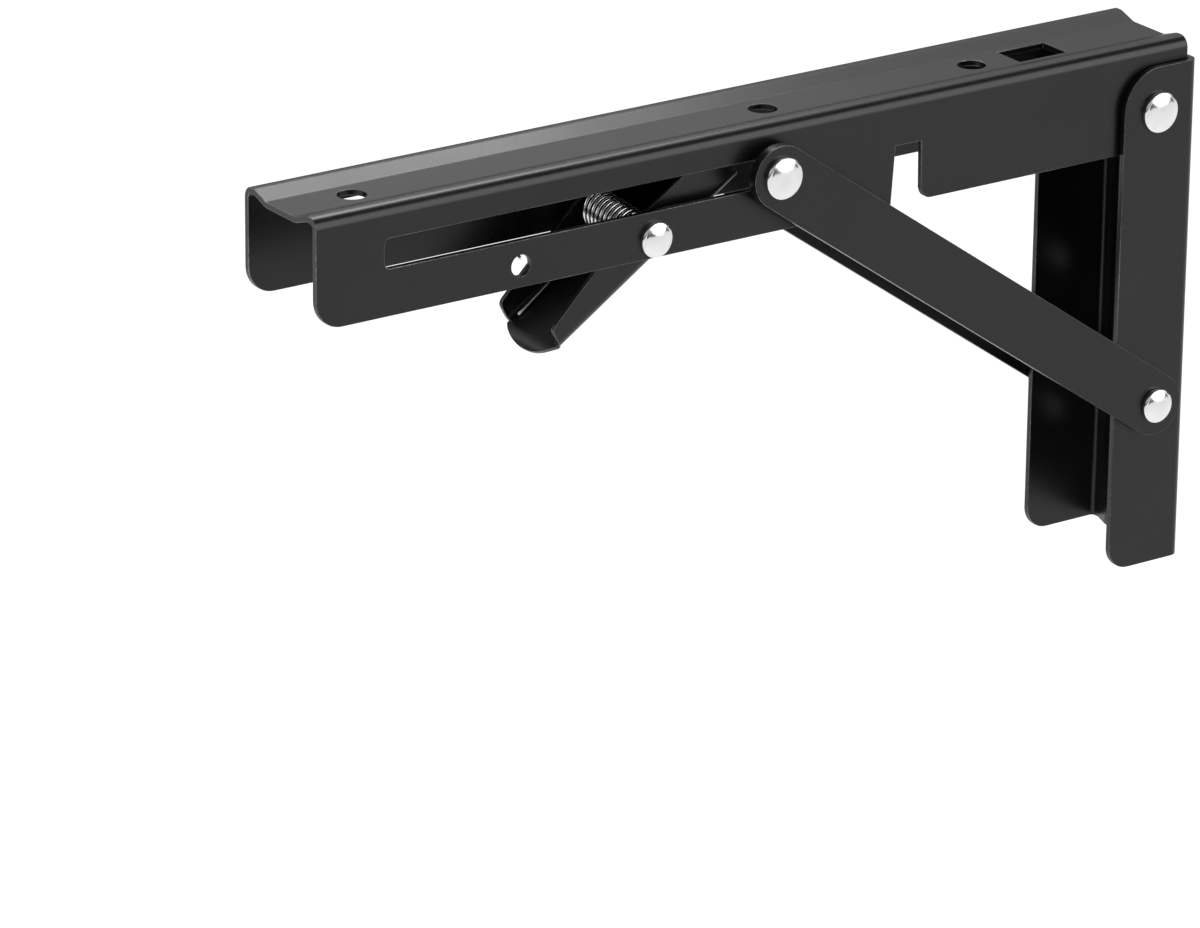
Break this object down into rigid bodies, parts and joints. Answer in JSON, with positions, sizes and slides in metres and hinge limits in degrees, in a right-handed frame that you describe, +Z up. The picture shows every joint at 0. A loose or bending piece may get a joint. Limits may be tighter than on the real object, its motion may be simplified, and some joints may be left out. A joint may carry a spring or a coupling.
{
  "type": "folding shelf bracket",
  "caption": "Folding shelf bracket in black sheet metal: a channel arm hinged in a wall rail, held level by brace bars on a slide pin with a sprung release lever.",
  "frame": {"origin": "the middle of the wall screws, on the side of the rail's groove floor that faces the wall. The wall is 1.7 mm behind it.", "axes": "+X across the bracket's width, +Y into the wall, +Z up"},
  "size_m": [0.0446, 0.2519, 0.1343],
  "materials": {
    "black_coat": "satin black powder coat",
    "zinc_plate": "bright zinc plate",
    "spring_wire": "drawn spring wire"
  },
  "bodies": {
    "rail": {"wall_rail": "black_coat", "hinge_rivet": "zinc_plate", "hinge_washer_left": "zinc_plate", "hinge_washer_right": "zinc_plate", "foot_rivet": "zinc_plate", "foot_washer_left": "zinc_plate", "foot_washer_right": "zinc_plate"},
    "arm": {"shelf_arm": "black_coat", "lever_rivet": "zinc_plate", "lever_sleeve": "black_coat", "lever_spring": "spring_wire"},
    "braces": {"brace_left": "black_coat", "brace_right": "black_coat", "slide_rivet_left": "zinc_plate", "slide_rivet_right": "zinc_plate"},
    "slide": {"slide_pin_left": "zinc_plate", "slide_pin_right": "zinc_plate", "slide_washer_left": "zinc_plate", "slide_washer_right": "zinc_plate"},
    "lever": {"release_lever": "black_coat"}
  },
  "joints": [
    {"name": "fold", "type": "hinge", "parent": "rail", "child": "arm", "pos_m": [0, -0.0102, 0.0531], "axis": [1, 0, 0], "range_deg": [0, 90]},
    {"name": "brace_swing", "type": "hinge", "parent": "rail", "child": "braces", "pos_m": [0, -0.0102, -0.0217], "axis": [1, 0, 0], "range_deg": [0, 123]},
    {"name": "pin_slide", "type": "slide", "parent": "arm", "child": "slide", "axis": [0, -1, 0], "range_m": [0, 0.1]},
    {"name": "lever_press", "type": "hinge", "parent": "arm", "child": "lever", "pos_m": [0, -0.1572, 0.0478], "axis": [1, 0, 0], "range_deg": [-31, 0], "stiffness_Nm_per_rad": 0.06, "springref_deg": 17.19, "deforming": ["lever_spring"]}
  ],
  "couplings": [
    {"joint": "brace_swing", "follows": "fold", "ratio": 1.3649},
    {"joint": "pin_slide", "follows": "fold", "m_per_rad": 0.063564}
  ]
}
